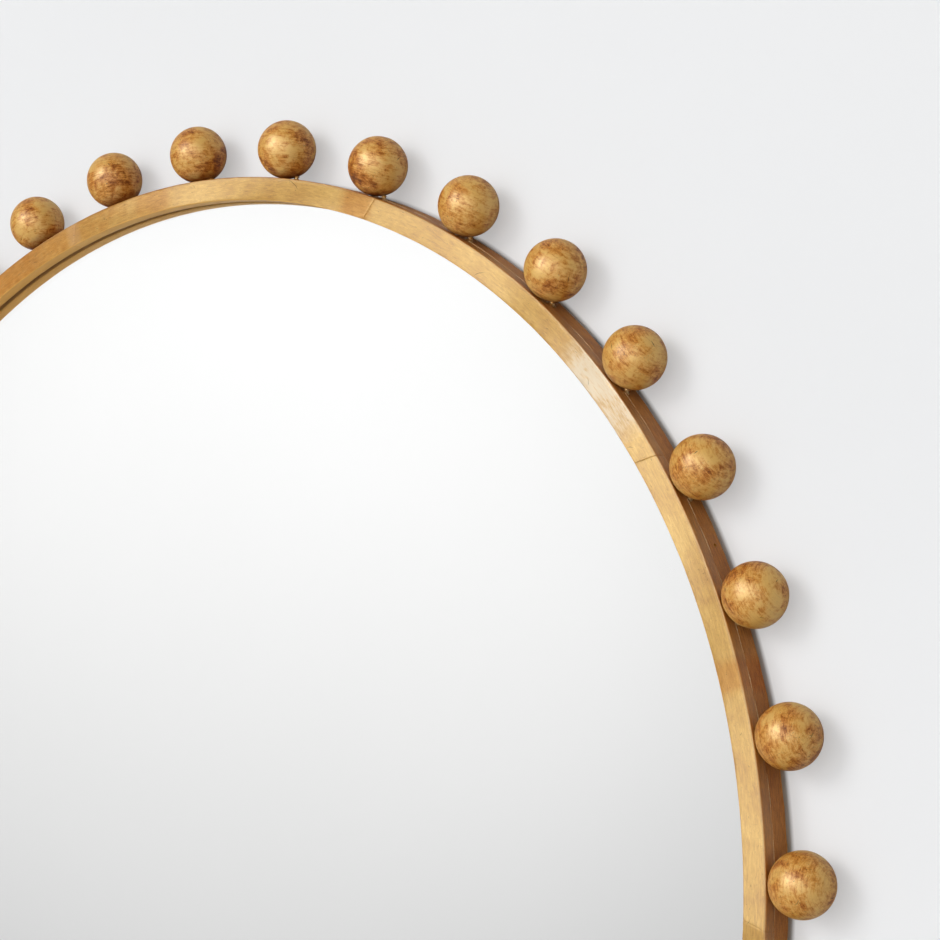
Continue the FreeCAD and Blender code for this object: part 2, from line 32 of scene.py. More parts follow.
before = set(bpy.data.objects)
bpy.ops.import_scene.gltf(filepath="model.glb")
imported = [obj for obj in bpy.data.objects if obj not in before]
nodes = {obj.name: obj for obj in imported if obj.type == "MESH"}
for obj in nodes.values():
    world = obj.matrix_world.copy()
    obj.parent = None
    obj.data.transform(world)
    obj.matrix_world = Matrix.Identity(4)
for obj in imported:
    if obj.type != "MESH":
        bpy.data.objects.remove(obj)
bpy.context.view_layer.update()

MM = 0.001
BODY = "mirror"
INTO_WALL = Vector((0, 1, 0))
TO_VIEWER = Vector((0, -1, 0))

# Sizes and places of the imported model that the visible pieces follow.
BALL_COUNT = 36
BALL_STEP = 360 / BALL_COUNT
BALL_RADIUS = 20 * MM
BALL_ORBIT = 488.1 * MM
RIM_RADIUS = 468 * MM
FACE_INNER = 452 * MM
FACE_MIDDLE = (RIM_RADIUS + FACE_INNER) / 2
FACE_HALF_WIDTH = (RIM_RADIUS - FACE_INNER) / 2
FACE_Y = -7 * MM
SEAM_Y = 2.2 * MM
SEGMENTS = 10
SEGMENT_STEP = 360 / SEGMENTS
JOINT_ANGLE = 33
JOINT_SLANT = 0.35
GLASS_BACK_Y = 6.2 * MM
SILVER_RADIUS = 457.3 * MM
BRAD_SIDE = 8 * MM
BRAD_Y = 4.5 * MM
PAD_COUNT = 4
PAD_ORBIT = 463.5 * MM
RING_BACK_Y = 18 * MM
WALL_Y = 20 * MM

# Worn arrises of the front layer.
FACE_ARRIS = 0.8 * MM
BACK_ARRIS = 0.25 * MM
CHIPPED_FROM = 7.2 * MM

# The room. Directions point from the mirror to the light.
WALL_GAP = 2.0 * MM
WALL_OPENING = 460 * MM
FLOOR_Z = -1.35
WINDOW = (0.12, -0.98, -0.15)
SOFTBOX = (-0.30, -0.87, 0.36)
BEHIND = (-0.2, 0.9, 0.4)
MIRRORED = (-0.69, -0.72, 0.02)
BACKDROP = 0.86


# ------------------------------------------------------------ node helpers


class Nodes:
    """Short ways to build a node tree. A value is a number, a colour or a socket."""

    def __init__(self, tree):
        self.tree = tree

    def put(self, socket, value):
        """Links a socket to a socket, or sets it to a plain value."""
        if isinstance(value, bpy.types.NodeSocket):
            self.tree.links.new(value, socket)
        elif socket.type == "RGBA" and len(value) == 3:
            socket.default_value = (*value, 1)
        else:
            socket.default_value = value

    def node(self, kind, inputs=None, **settings):
        made = self.tree.nodes.new("ShaderNode" + kind)
        for name, value in settings.items():
            setattr(made, name, value)
        for name, value in (inputs or {}).items():
            self.put(made.inputs[name], value)
        return made

    def math(self, operation, *values):
        return self.node("Math", dict(enumerate(values)), operation=operation).outputs[0]

    def times(self, first, second):
        return self.math("MULTIPLY", first, second)

    def without(self, mask):
        """The rest of a mask that runs from 0 to 1."""
        return self.math("SUBTRACT", 1.0, mask)

    def length(self, first, second):
        """How far a point lies from an axis, by its two distances across it."""
        squares = self.math("ADD", self.times(first, first), self.times(second, second))
        return self.math("SQRT", squares)

    def vector(self, x, y, z):
        return self.node("CombineXYZ", {0: x, 1: y, 2: z}).outputs[0]

    def parts(self, vector):
        return self.node("SeparateXYZ", {0: vector}).outputs

    def remap(self, value, low, high, to_low=0.0, to_high=1.0, ease="LINEAR"):
        inputs = {0: value, 1: low, 2: high, 3: to_low, 4: to_high}
        made = self.node("MapRange", inputs, clamp=True, interpolation_type=ease)
        return made.outputs[0]

    def blend(self, factor, first, second):
        """Two shaders, mixed."""
        return self.node("MixShader", {0: factor, 1: first, 2: second}).outputs[0]


class Paint(Nodes):
    """A node-built material with a Principled shader."""

    def __init__(self, name):
        self.material = bpy.data.materials.new(name)
        self.material.use_nodes = True
        super().__init__(self.material.node_tree)
        self.shader = self.tree.nodes["Principled BSDF"]

    def place(self):
        """The point in the object's own coordinates."""
        return self.node("TexCoord").outputs["Object"]

    def noise(self, vector, scale, detail=4, rough=0.55, warp=0, w=None):
        """Fractal noise, in four dimensions where w is given."""
        inputs = {
            "Vector": vector,
            "Scale": scale,
            "Detail": detail,
            "Roughness": rough,
            "Distortion": warp,
        }
        if w is not None:
            inputs["W"] = w
        size = "3D" if w is None else "4D"
        return self.node("TexNoise", inputs, noise_dimensions=size).outputs["Fac"]

    def ramp(self, value, *stops):
        """A colour ramp through (position, colour) stops."""
        made = self.node("ValToRGB", {0: value})
        band = made.color_ramp.elements
        while len(band) < len(stops):
            band.new(1.0)
        for element, (position, colour) in zip(band, stops):
            element.position = position
            element.color = (*colour, 1)
        return made.outputs[0]

    def mix(self, factor, first, second, mode="MIX"):
        """Two colours, mixed."""
        inputs = {0: factor, 6: first, 7: second}
        return self.node("Mix", inputs, data_type="RGBA", blend_type=mode).outputs[2]

    def tinted(self, colour, tint):
        return self.mix(1.0, colour, tint, "MULTIPLY")

    def bump(self, height, depth, normal=None):
        inputs = {"Height": height, "Distance": depth, "Strength": 1.0}
        if normal is not None:
            inputs["Normal"] = normal
        return self.node("Bump", inputs).outputs[0]

    def finish(self, **sockets):
        """Sets the shader's sockets, named with _ for each space."""
        for name, value in sockets.items():
            self.put(self.shader.inputs[name.replace("_", " ")], value)
        return self.material

    def cover(self, mask, other):
        """Puts another shader over the Principled one where the mask is 1."""
        output = self.tree.nodes["Material Output"].inputs["Surface"]
        self.put(output, self.blend(mask, self.shader.outputs[0], other))
        return self.material


# ------------------------------------------------------------ materials

GOLD_PALE = (0.83, 0.475, 0.108)
GOLD = (0.685, 0.285, 0.035)
GOLD_DEEP = (0.46, 0.136, 0.012)
GOLD_BROWN = (0.15, 0.032, 0.004)


def gilded_ball():
    """Brushed gold over turned wood: mottled, rubbed, with fine turning marks.
    A ball's X axis is its turning axis and points away from the ring."""
    paint = Paint("gilded_ball")
    point = paint.place()
    x, y, z = paint.parts(point)
    # Each ball takes its pattern from elsewhere in the noise.
    shift = paint.times(paint.node("ObjectInfo").outputs["Random"], 40.0)
    moved = {0: point, 1: paint.vector(shift, shift, shift)}
    apart = paint.node("VectorMath", moved, operation="ADD").outputs[0]
    clouds = paint.noise(apart, 42, detail=6, rough=0.62, warp=0.3)
    patches = paint.noise(apart, 170, detail=7, rough=0.74, warp=0.5)
    turning = paint.vector(paint.times(x, 9.0), paint.length(y, z), shift)
    marks = paint.noise(turning, 160, detail=6, rough=0.75)
    brushed = paint.vector(paint.times(x, 7.0), y, paint.math("ADD", z, shift))
    strokes = paint.noise(brushed, 110, detail=6, rough=0.78, warp=0.3)
    specks = paint.noise(apart, 1000, detail=3, rough=0.8)

    tone = paint.times(clouds, 0.32)
    tone = paint.math("MULTIPLY_ADD", patches, 0.38, tone)
    tone = paint.math("MULTIPLY_ADD", strokes, 0.30, tone)
    colour = paint.ramp(
        tone,
        (0.40, GOLD_BROWN),
        (0.45, GOLD_DEEP),
        (0.495, GOLD),
        (0.545, GOLD_PALE),
    )
    rubbing_and_sheen = paint.remap(marks, 0.54, 0.72, 0.0, 0.5)
    colour = paint.mix(rubbing_and_sheen, colour, GOLD_DEEP)
    clusters = paint.remap(clouds, 0.58, 0.44, 0.15, 0.95)
    grit = paint.times(paint.remap(specks, 0.585, 0.66), clusters)
    colour = paint.mix(grit, colour, GOLD_BROWN)
    # Painted shade round the contact with the rim, darker towards the wall.
    uneven = paint.math("MULTIPLY_ADD", patches, 0.008, x)
    uneven = paint.math("MULTIPLY_ADD", z, -0.22, uneven)
    contact_shade = paint.remap(uneven, -15.0 * MM, -7.5 * MM, 0.92, 0.0)
    colour = paint.mix(contact_shade, colour, GOLD_BROWN)

    relief = paint.math("MULTIPLY_ADD", marks, 0.5, paint.times(strokes, 0.5))
    normal = paint.bump(relief, 0.08 * MM)
    normal = paint.bump(patches, 0.10 * MM, normal)
    return paint.finish(
        Base_Color=colour,
        Roughness=paint.remap(patches, 0.3, 0.7, 0.35, 0.47),
        Normal=normal,
        Metallic=paint.remap(tone, 0.47, 0.55, 0.02, 0.17),
        IOR=1.8,
        Specular_IOR_Level=paint.remap(tone, 0.43, 0.54, 0.26, 0.86),
        Specular_Tint=(0.97, 1.0, 0.80),
    )


AGED = (0.86, 0.64, 0.50)
# Browner places on the ring: angle, reach in degrees, strength.
AGED_PLACES = [
    (15, 1.6, 0.6),
    (70.5, 2.2, 0.7),
    (95, 3.0, 0.5),
    (135, 40, 1.0),
    (205, 20, 0.4),
    (290, 26, 0.5),
]
FILLER = (0.64, 0.37, 0.19)
# Pale colour for the painted sheen on the face.
PAINTED_SHEEN_PALE = (0.65, 0.53, 0.40)
SIDE_STAIN = (0.86, 0.585, 0.42)
# Paler gold painted on the inner wall, standing in for light from the mirror.
INNER_PAINTED_LIGHT = (0.86, 0.49, 0.14)
LIP_GLOW = (0.42, 0.25, 0.10)


def gilded_ring(name, tones, metal, shine):
    """Gold stain that shows the grain of the wood, which runs along the ring.
    The four tones go from dark to pale."""
    paint = Paint(name)
    point = paint.place()
    x, y, z = paint.parts(point)
    radius = paint.length(x, z)
    angle = paint.math("DEGREES", paint.math("ARCTAN2", z, x))

    def grained(across, scale, **settings):
        """Noise squeezed across the ring, so that it runs along it without a seam."""
        turn = paint.math("DIVIDE", RIM_RADIUS, radius)
        deep = paint.times(radius, across)
        vector = paint.vector(paint.times(x, turn), deep, paint.times(z, turn))
        return paint.noise(vector, scale, w=paint.times(y, across), **settings)

    grain = grained(7.0, 120, detail=7, rough=0.76, warp=0.6)
    fibres = grained(14.0, 130, detail=5, rough=0.78)
    clouds = paint.noise(point, 20, detail=4, rough=0.6, warp=0.8)
    stains = paint.noise(point, 55, detail=5, rough=0.7, warp=1.5)
    specks = paint.noise(point, 900, detail=3, rough=0.8)

    def near(middle, reach):
        """Strength by the angle from a place on the ring, with a ragged edge."""
        away = paint.math("ABSOLUTE", paint.math("SUBTRACT", angle, middle))
        away = paint.math("MULTIPLY_ADD", stains, reach * 0.8, away)
        return paint.remap(away, reach * 1.4, reach * 0.9)

    tone = paint.times(grain, 0.46)
    tone = paint.math("MULTIPLY_ADD", clouds, 0.30, tone)
    tone = paint.math("MULTIPLY_ADD", fibres, 0.24, tone)
    colour = paint.ramp(tone, *zip((0.37, 0.445, 0.51, 0.60), tones))
    stain = paint.remap(stains, 0.54, 0.72, 0.0, 0.65)
    colour = paint.mix(stain, colour, tones[1])
    pores = paint.remap(fibres, 0.57, 0.66, 0.0, 0.62)
    colour = paint.mix(pores, colour, tones[0])
    grit = paint.remap(specks, 0.60, 0.70, 0.0, 0.7)
    colour = paint.mix(grit, colour, tones[0])

    # The rim's outer side is stained darker, and shows its grain more.
    side = paint.remap(radius, 467.25 * MM, 467.85 * MM)
    front = paint.without(side)
    streak = paint.remap(grain, 0.3, 0.7, 0.82, 1.18)
    stained = paint.tinted(colour, SIDE_STAIN)
    stained = paint.tinted(stained, paint.vector(streak, streak, streak))
    colour = paint.mix(side, colour, stained)

    worn = 0.0
    for middle, reach, strength in AGED_PLACES:
        worn = paint.math("MAXIMUM", paint.times(near(middle, reach), strength), worn)
    colour = paint.mix(worn, colour, paint.tinted(colour, AGED))
    arris = paint.times(paint.remap(radius, 466.0 * MM, 467.2 * MM, 0.0, 0.55), front)
    colour = paint.mix(arris, colour, tones[0])
    # A filled flaw.
    colour = paint.mix(paint.times(near(105.1, 1.0), 0.32), colour, FILLER)
    # A painted sheen on the front face: a pale patch, streaked by the tone, round 40
    # degrees.
    rubbing_and_sheen = paint.times(near(40.0, 5.5), paint.remap(tone, 0.43, 0.52, 0.10, 0.90))
    colour = paint.mix(paint.times(rubbing_and_sheen, front), colour, PAINTED_SHEEN_PALE)
    # Painted light: the inner wall is made paler, as if lit by the mirror.
    inner = paint.remap(radius, 452.9 * MM, 452.3 * MM, 0.0, 0.75)
    colour = paint.mix(inner, colour, INNER_PAINTED_LIGHT)

    normal = paint.bump(fibres, 0.07 * MM)
    normal = paint.bump(grain, 0.10 * MM, normal)
    level = paint.remap(radius, 452.9 * MM, 452.3 * MM, shine, 0.12)
    # Light under the lip, where the glass shows the back of the front layer.
    lip = paint.times(
        paint.remap(y, 1.9 * MM, 2.1 * MM),
        paint.remap(radius, 457.0 * MM, 452.5 * MM),
    )
    return paint.finish(
        Base_Color=colour,
        Roughness=paint.remap(grain, 0.3, 0.7, 0.36, 0.46),
        Normal=normal,
        Metallic=metal,
        Anisotropic=0.85,
        Tangent=paint.node("Tangent", direction_type="RADIAL", axis="Y").outputs[0],
        IOR=1.8,
        Specular_IOR_Level=paint.times(level, paint.remap(worn, 0.0, 1.0, 1.0, 0.35)),
        Specular_Tint=(1.0, 0.98, 0.76),
        Emission_Color=LIP_GLOW,
        Emission_Strength=paint.times(lip, 0.17),
    )


def worn_metal(name, bright, dull, rough, scale=300.0):
    """Plated steel or brass with faint handling marks."""
    paint = Paint(name)
    point = paint.place()
    blotch = paint.noise(point, scale, detail=4, rough=0.6)
    scratch = paint.noise(point, scale * 6, detail=3, rough=0.8)
    return paint.finish(
        Base_Color=paint.ramp(blotch, (0.3, dull), (0.65, bright)),
        Roughness=paint.remap(blotch, 0.3, 0.7, rough, rough + 0.16),
        Normal=paint.bump(scratch, 0.03 * MM),
        Metallic=1.0,
    )


def fibre_board():
    """Brown hardboard: clouds of short fibres, with dark specks."""
    paint = Paint("fibre_board")
    point = paint.place()
    clouds = paint.noise(point, 6, detail=4, rough=0.6)
    fibres = paint.noise(point, 420, detail=5, rough=0.8, warp=2.0)
    specks = paint.noise(point, 900, detail=3, rough=0.8)
    tone = paint.math("MULTIPLY_ADD", fibres, 0.6, paint.times(clouds, 0.4))
    colour = paint.ramp(
        tone,
        (0.34, (0.11, 0.062, 0.032)),
        (0.5, (0.21, 0.125, 0.068)),
        (0.66, (0.33, 0.21, 0.125)),
    )
    grit = paint.remap(specks, 0.66, 0.76, 0.0, 0.6)
    return paint.finish(
        Base_Color=paint.mix(grit, colour, (0.06, 0.034, 0.02)),
        Roughness=paint.remap(fibres, 0.3, 0.7, 0.62, 0.85),
        Normal=paint.bump(fibres, 0.14 * MM),
    )


def soft_felt():
    """Dark felt with tangled fibres."""
    paint = Paint("soft_felt")
    fibres = paint.noise(paint.place(), 2600, detail=4, rough=0.8, warp=2.5)
    dark, light = (0.035, 0.03, 0.026), (0.13, 0.115, 0.10)
    return paint.finish(
        Base_Color=paint.ramp(fibres, (0.3, dark), (0.7, light)),
        Roughness=0.95,
        Normal=paint.bump(fibres, 0.2 * MM),
        Sheen_Weight=0.35,
    )


def closed_foam():
    """Dark foam with fine closed cells."""
    paint = Paint("closed_foam")
    cells = paint.noise(paint.place(), 1800, detail=2, rough=0.6)
    dark, light = (0.03, 0.03, 0.032), (0.07, 0.07, 0.073)
    return paint.finish(
        Base_Color=paint.ramp(cells, (0.35, dark), (0.65, light)),
        Roughness=0.9,
        Normal=paint.bump(cells, 0.15 * MM),
    )


def plate_glass():
    """Clear float glass."""
    paint = Paint("plate_glass")
    waves = paint.noise(paint.place(), 3.0, detail=1)
    dim, clear = (0.986, 0.987, 0.986), (0.991, 0.991, 0.991)
    paint.finish(
        Base_Color=paint.ramp(waves, (0.3, dim), (0.7, clear)),
        Roughness=0.0,
        IOR=1.52,
        Transmission_Weight=1.0,
    )
    # Soft light that meets the mirror comes back to the frame, as from a white sheet.
    sheet = paint.node("BsdfDiffuse", {"Color": (0.85, 0.85, 0.85)}).outputs[0]
    return paint.cover(paint.node("LightPath").outputs["Is Diffuse Ray"], sheet)


def silvering():
    """The reflecting coat, with a hint of cloudiness."""
    paint = Paint("silvering")
    clouds = paint.noise(paint.place(), 5.0, detail=2)
    dim, clear = (0.945, 0.948, 0.945), (0.955, 0.957, 0.955)
    return paint.finish(
        Base_Color=paint.ramp(clouds, (0.3, dim), (0.7, clear)),
        Roughness=0.0,
        Metallic=1.0,
    )


def flat_tone(name, low, high, scale):
    """A dull stain with a little variation, for cracks and pits, and for the worn seam
    line, whose pale colour is partly a painted highlight.
    """
    paint = Paint(name)
    clouds = paint.noise(paint.place(), scale, detail=3)
    return paint.finish(
        Base_Color=paint.ramp(clouds, (0.35, low), (0.65, high)),
        Roughness=paint.remap(clouds, 0.3, 0.7, 0.6, 0.8),
    )


FACE_TONES = [
    (0.32, 0.125, 0.020),
    (0.51, 0.245, 0.040),
    (0.63, 0.345, 0.066),
    (0.78, 0.495, 0.135),
]
REAR_TONES = [
    (0.28, 0.10, 0.015),
    (0.49, 0.225, 0.038),
    (0.61, 0.32, 0.062),
    (0.73, 0.45, 0.12),
]
BALL_GOLD = gilded_ball()
FACE_GOLD = gilded_ring("gilded_face", FACE_TONES, metal=0.15, shine=0.9)
REAR_GOLD = gilded_ring("gilded_rear", REAR_TONES, metal=0.10, shine=0.3)
BRAD_GOLD = worn_metal("gilded_brad", (0.92, 0.70, 0.38), (0.62, 0.36, 0.12), 0.32)
PIN_STEEL = worn_metal("pin_steel", (0.55, 0.55, 0.56), (0.36, 0.36, 0.37), 0.3)
NAIL_STEEL = worn_metal("nail_steel", (0.09, 0.065, 0.05), (0.03, 0.022, 0.018), 0.5)
ZINC = worn_metal("zinc_plate", (0.47, 0.47, 0.46), (0.27, 0.27, 0.265), 0.30, 260.0)
ZINC_WIRE = worn_metal("zinc_wire", (0.54, 0.54, 0.53), (0.32, 0.32, 0.32), 0.24, 420.0)
BOARD = fibre_board()
FELT = soft_felt()
FOAM = closed_foam()
GLASS = plate_glass()
SILVER = silvering()
CRACK = flat_tone("crack_brown", (0.035, 0.014, 0.006), (0.10, 0.042, 0.014), 900.0)
# A pale tone for the worn seam, which also stands in for a painted highlight.
SEAM_WEAR_AND_HIGHLIGHT = flat_tone("worn_arris", (0.50, 0.30, 0.13), (0.78, 0.54, 0.30), 700.0)


# ------------------------------------------------------------ meshes


def piece(name, points, faces, material, smooth=True):
    """A new mesh that rides on the mirror and takes a slot's finish."""
    mesh = bpy.data.meshes.new(name)
    mesh.from_pydata(points, [], faces)
    mesh.update()
    if smooth:
        mesh.shade_smooth()
    mesh.materials.append(material)
    made = bpy.data.objects.new(name, mesh)
    bpy.context.scene.collection.objects.link(made)
    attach(made, BODY)
    return made


def paint_node(name, material):
    """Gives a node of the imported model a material."""
    for slot in nodes[name].material_slots:
        slot.material = material


def on_ring(angle, radius, y):
    """A point at an angle in degrees round the ring's axis."""
    turn = math.radians(angle)
    return Vector((math.cos(turn) * radius, y, math.sin(turn) * radius))


def ball_axes(index):
    """Away from the ring's centre at a ball, and on round the ring from it."""
    outward = on_ring(BALL_STEP * index, 1, 0)
    return outward, outward.cross(INTO_WALL)


def ball_frame(index):
    """Where a ball sits: its X axis points away from the ring's centre."""
    outward, onward = ball_axes(index)
    turn = Matrix((outward, onward, INTO_WALL)).transposed()
    return Matrix.Translation(outward * BALL_ORBIT) @ turn.to_4x4()


def any_way(chance):
    """A random direction."""
    return Vector([chance.gauss(0, 1) for _ in range(3)]).normalized()


def skin(faces, base, rows, around):
    """Adds the faces between closed rows of points."""
    for row in range(rows):
        for k in range(around):
            a = base + row * around + k
            b = base + row * around + (k + 1) % around
            faces.append((a, b, b + around, a + around))


def turned_ball(index, chance):
    """A turned ball, never quite round, with shallow dents from handling."""
    shape = bmesh.new()
    bmesh.ops.create_icosphere(shape, subdivisions=6, radius=1.0)
    seed = Vector((index * 3.7, index * 1.3, 0.5))
    dents = []
    for _ in range(7):
        way = any_way(chance)
        dents.append((way, chance.uniform(0.05, 0.16), chance.uniform(0.05, 0.22) * MM))
    for vertex in shape.verts:
        way = vertex.co.normalized()
        low = 0.09 * MM * (1 + noise.noise(way * 1.7 + seed))
        turning = 0.012 * MM * (1 + noise.noise(Vector((way.x * 22, index, 0))))
        sunk = low + turning
        for centre, width, depth in dents:
            away = (way - centre).length / width
            if away < 1:
                sunk += depth * (1 - away * away) ** 2
        vertex.co = way * (BALL_RADIUS - sunk)
    mesh = bpy.data.meshes.new("gilded_ball_%02d" % (index + 1))
    shape.to_mesh(mesh)
    shape.free()
    mesh.shade_smooth()
    mesh.materials.append(BALL_GOLD)
    made = bpy.data.objects.new(mesh.name, mesh)
    bpy.context.scene.collection.objects.link(made)
    made.matrix_world = ball_frame(index)
    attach(made, BODY)
    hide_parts("ball_%02d" % (index + 1))


def corner(points, centre, radius, start, steps=6):
    """Adds a quarter-round corner to a profile of (radius, y) points."""
    for step in range(steps + 1):
        turn = math.radians(start + 90 * step / steps)
        across = centre[0] + radius * math.cos(turn)
        points.append((across, centre[1] + radius * math.sin(turn)))


def face_profile():
    """The section of the front layer, seen with the ring's axis to the left."""
    points = []
    front, soft = FACE_ARRIS, BACK_ARRIS
    flat = SEAM_Y - soft - FACE_Y - front
    corner(points, (RIM_RADIUS - front, FACE_Y + front), front, -90)
    for step in (0.25, 0.5, 0.75):
        points.append((RIM_RADIUS, FACE_Y + front + flat * step))
    corner(points, (RIM_RADIUS - soft, SEAM_Y - soft), soft, 0, 3)
    corner(points, (FACE_INNER + soft, SEAM_Y - soft), soft, 90, 3)
    for step in (0.25, 0.5, 0.75):
        points.append((FACE_INNER, SEAM_Y - soft - flat * step))
    corner(points, (FACE_INNER + front, FACE_Y + front), front, 180)
    width = RIM_RADIUS - FACE_INNER - 2 * front
    for step in range(1, 8):
        points.append((FACE_INNER + front + width * step / 8, FACE_Y))
    return points


def front_piece(index):
    """One piece of the front layer, its arrises worn and its faces a little uneven."""
    joint_half, eased = 0.007, 0.05
    profile = face_profile()
    middle_y = (FACE_Y + SEAM_Y) / 2
    start = JOINT_ANGLE + SEGMENT_STEP * index + joint_half
    stop = start + SEGMENT_STEP - 2 * joint_half
    count = 150
    angles = [start, start + 0.02, start + eased]
    for k in range(1, count):
        angles.append(start + eased + (stop - start - 2 * eased) * k / count)
    angles += [stop - eased, stop - 0.02, stop]
    points = []
    for angle in angles:
        near_end = min(angle - start, stop - angle)
        shrink = 0.14 * MM * max(0.0, 1 - near_end / eased) ** 2
        for radius, y in profile:
            way = Vector((radius - FACE_MIDDLE, y - middle_y)).normalized()
            slant = JOINT_SLANT * (FACE_MIDDLE - radius) / FACE_HALF_WIDTH
            spot = on_ring(angle + slant, radius, y)
            swell = Vector((spot.x * 60, spot.y * 160, spot.z * 60))
            inward = shrink + 0.05 * MM * (1 + noise.noise(swell))
            if abs(radius - FACE_MIDDLE) > CHIPPED_FROM and y < FACE_Y + FACE_ARRIS:
                chip = noise.noise(spot * 210 + Vector((7, 0, 0)))
                inward += 0.22 * MM * max(0.0, chip - 0.15)
            sunk = on_ring(angle + slant, radius - way.x * inward, y - way.y * inward)
            points.append(sunk)
    size = len(profile)
    rows = len(angles) - 1
    faces = []
    skin(faces, 0, rows, size)
    faces.append(tuple(reversed(range(size))))
    faces.append(tuple(range(rows * size, rows * size + size)))
    name = "face_piece_%02d" % (index + 1)
    made = piece(name, points, faces, FACE_GOLD)
    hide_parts("front_segment_%02d" % (index + 1))


def ribbon(points, faces, path, widths, up):
    """Adds a narrow strip along a path, lying square to the up direction."""
    base = len(points)
    for k, spot in enumerate(path):
        ahead = path[min(k + 1, len(path) - 1)] - path[max(k - 1, 0)]
        side = ahead.cross(up(spot)).normalized() * widths[k] / 2
        points.extend([spot - side, spot + side])
    for k in range(len(path) - 1):
        a = base + 2 * k
        faces.append((a, a + 1, a + 3, a + 2))


def tapered(count, width, chance):
    """Ragged widths that run out at both ends."""
    shape = []
    for k in range(count):
        reach = math.sin(math.pi * (k + 0.35) / (count - 0.3))
        shape.append(width * max(0.12, reach) * chance.uniform(0.7, 1.15))
    return shape


def seam_wear(chance):
    """A rubbed ridge where the two layers meet: a thin, light, broken line, whose
    paleness is partly a painted highlight.
    """
    points, faces = [], []
    sunk = -0.05 * MM
    angle = 0.0
    while angle < 359:
        length = chance.uniform(1.5, 6.5)
        if chance.random() < 0.95:
            count = max(5, int(length * 7))
            proud = tapered(count, chance.uniform(0.17, 0.27) * MM, chance)
            drift = chance.uniform(-0.12, 0.12) * MM
            base = len(points)
            for k in range(count):
                turn = angle + length * k / count
                y = SEAM_Y + drift + 0.1 * MM * noise.noise(Vector((turn * 3, 2.0, 0)))
                for reach, back in ((sunk, -0.75), (proud[k], 0.1), (sunk, 0.6)):
                    points.append(on_ring(turn, RIM_RADIUS + reach, y + back * proud[k]))
            for k in range(count - 1):
                a = base + 3 * k
                faces.extend([(a, a + 1, a + 4, a + 3), (a + 1, a + 2, a + 5, a + 4)])
        angle += length + chance.uniform(0.0, 0.2)
    piece("seam_wear", points, faces, SEAM_WEAR_AND_HIGHLIGHT, smooth=False)


def face_cracks(chance):
    """Short grain checks and pits in the front face."""
    points, faces = [], []
    y = FACE_Y - 0.004 * MM

    def towards_viewer(spot):
        return TO_VIEWER

    # Angle, inner and outer radius in mm, sweep in degrees, width in mm. The
    # first four are the ones that show most, and the rest are scattered.
    marks = [
        (77.4, 461.0, 467.0, 1.15, 0.34),
        (55.9, 453.2, 459.5, -0.9, 0.30),
        (41.0, 455.0, 458.0, 0.5, 0.26),
        (34.7, 453.4, 457.0, -0.35, 0.24),
    ]
    for _ in range(46):
        inner = chance.uniform(453, 463)
        outer = inner + chance.uniform(1.0, 4.0)
        place = chance.uniform(80, 390)
        marks.append((place, inner, outer, chance.uniform(-0.6, 0.6), 0.2))
    for angle, inner, outer, sweep, width in marks:
        count = 9
        path = []
        for k in range(count):
            share = k / (count - 1)
            radius = (inner + (outer - inner) * share) * MM
            path.append(on_ring(angle + sweep * share * share, radius, y))
        ribbon(points, faces, path, tapered(count, width * MM, chance), towards_viewer)
    for _ in range(320):
        angle = chance.uniform(0, 360)
        radius = chance.uniform(453.5, 466.5) * MM
        length = chance.uniform(0.03, 0.22)
        slant = chance.uniform(-0.35, 0.35) * MM
        count = 5
        path = []
        for k in range(count):
            share = k / (count - 1)
            path.append(on_ring(angle + length * share, radius + slant * share, y))
        widths = tapered(count, chance.uniform(0.10, 0.26) * MM, chance)
        ribbon(points, faces, path, widths, towards_viewer)
    piece("face_cracks", points, faces, CRACK)


def ball_cracks(chance):
    """Hairline checks and pits on the balls."""
    points, faces = [], []
    for index in range(BALL_COUNT):
        centre = ball_frame(index).translation
        for _ in range(chance.randint(9, 15)):
            spot = any_way(chance)
            heading = spot.orthogonal().normalized()
            heading.rotate(Matrix.Rotation(chance.uniform(0, 6.3), 3, spot))
            reach = chance.choice((0.03, 0.05, 0.08, 0.16, 0.26))
            bend = chance.uniform(-1.2, 1.2)
            count = 8
            path = []
            for _ in range(count):
                path.append(centre + spot * (BALL_RADIUS - 0.02 * MM))
                heading = (heading - spot * heading.dot(spot)).normalized()
                heading.rotate(Matrix.Rotation(bend / count, 3, spot))
                spot = (spot + heading * reach / count).normalized()
            widths = tapered(count, chance.uniform(0.18, 0.5) * MM, chance)
            ribbon(points, faces, path, widths, lambda spot: spot - centre)
    piece("ball_cracks", points, faces, CRACK)


def brad_collars():
    """Gilding gathered in a lumpy collar round each brad, between ball and rim."""
    points, faces = [], []
    around, rows = 18, 8
    height = 2.75 * MM
    rim = math.sqrt(RIM_RADIUS ** 2 - BRAD_SIDE ** 2)
    for index in range(BALL_COUNT):
        outward, onward = ball_axes(index)
        side = -onward
        foot = outward * (rim - 0.05 * MM) + side * BRAD_SIDE + INTO_WALL * BRAD_Y
        base = len(points)
        for row in range(rows + 1):
            share = row / rows
            waist = 1.5 * MM + 1.7 * MM * abs(1 - 1.7 * share) ** 2.0
            for k in range(around):
                turn = 2 * math.pi * k / around
                lump = noise.noise(Vector((k * 0.45, row * 0.5, index * 5.1)))
                reach = waist * (1 + 0.45 * lump)
                flat = side * math.cos(turn) * reach + INTO_WALL * math.sin(turn) * reach
                points.append(foot + flat + outward * height * share)
        skin(faces, base, rows, around)
    piece("brad_collars", points, faces, BRAD_GOLD)


def silver_coat():
    """The silvering, a skin on the back of the glass."""
    y = GLASS_BACK_Y - 0.02 * MM
    count = 360
    radii = (150 * MM, 300 * MM, SILVER_RADIUS)
    points = [Vector((0, y, 0))]
    for radius in radii:
        for k in range(count):
            points.append(on_ring(360 * k / count, radius, y))
    faces = []
    for k in range(count):
        following = (k + 1) % count
        faces.append((0, 1 + k, 1 + following))
        for row in range(len(radii) - 1):
            a = 1 + row * count + k
            b = 1 + row * count + following
            faces.append((a, a + count, b + count, b))
    piece("silver_coat", points, faces, SILVER, smooth=False)


